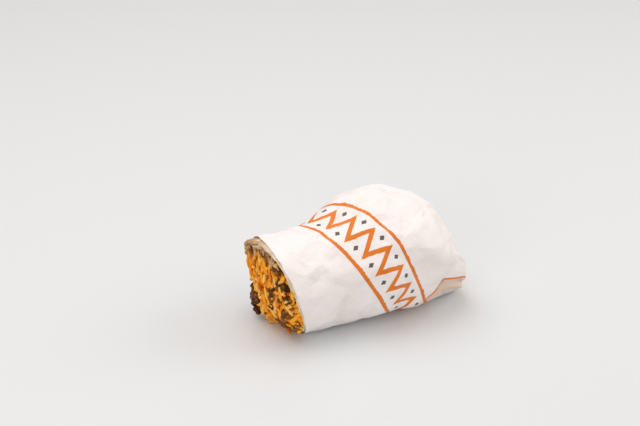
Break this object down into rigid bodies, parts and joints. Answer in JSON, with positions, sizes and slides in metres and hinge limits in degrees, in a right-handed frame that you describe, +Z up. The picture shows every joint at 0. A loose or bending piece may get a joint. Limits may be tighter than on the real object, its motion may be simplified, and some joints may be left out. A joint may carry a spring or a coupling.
{
  "type": "burrito half",
  "caption": "Half of a rolled burrito in a printed paper wrap, lying on its side, with its filling showing at the cut end.",
  "frame": {"origin": "centre of the bounding box, at the height of the surface the roll lies on", "axes": "+X along the roll from the cut end to the folded closed end, +Z up, +Y across the roll"},
  "size_m": [0.123, 0.071, 0.0686],
  "materials": {
    "paper": "white food paper with an orange print, matte and slightly translucent",
    "tortilla": "steamed wheat tortilla, matte, with toasted spots",
    "filling": "moist orange rice and shredded cheese",
    "meat": "browned chopped beef, moist",
    "onion": "raw white onion dice, wet"
  },
  "bodies": {
    "root": {"paper_wrap": "paper", "tortilla": "tortilla", "rice_and_cheese": "filling", "meat_far_top": "meat", "meat_top": "meat", "meat_near_top": "meat", "meat_near_upper": "meat", "meat_near_side": "meat", "meat_near_lower": "meat", "meat_near_foot": "meat", "meat_centre": "meat", "meat_far_foot": "meat", "meat_foot": "meat", "onion_near": "onion", "onion_low": "onion", "onion_far": "onion"}
  },
  "joints": []
}
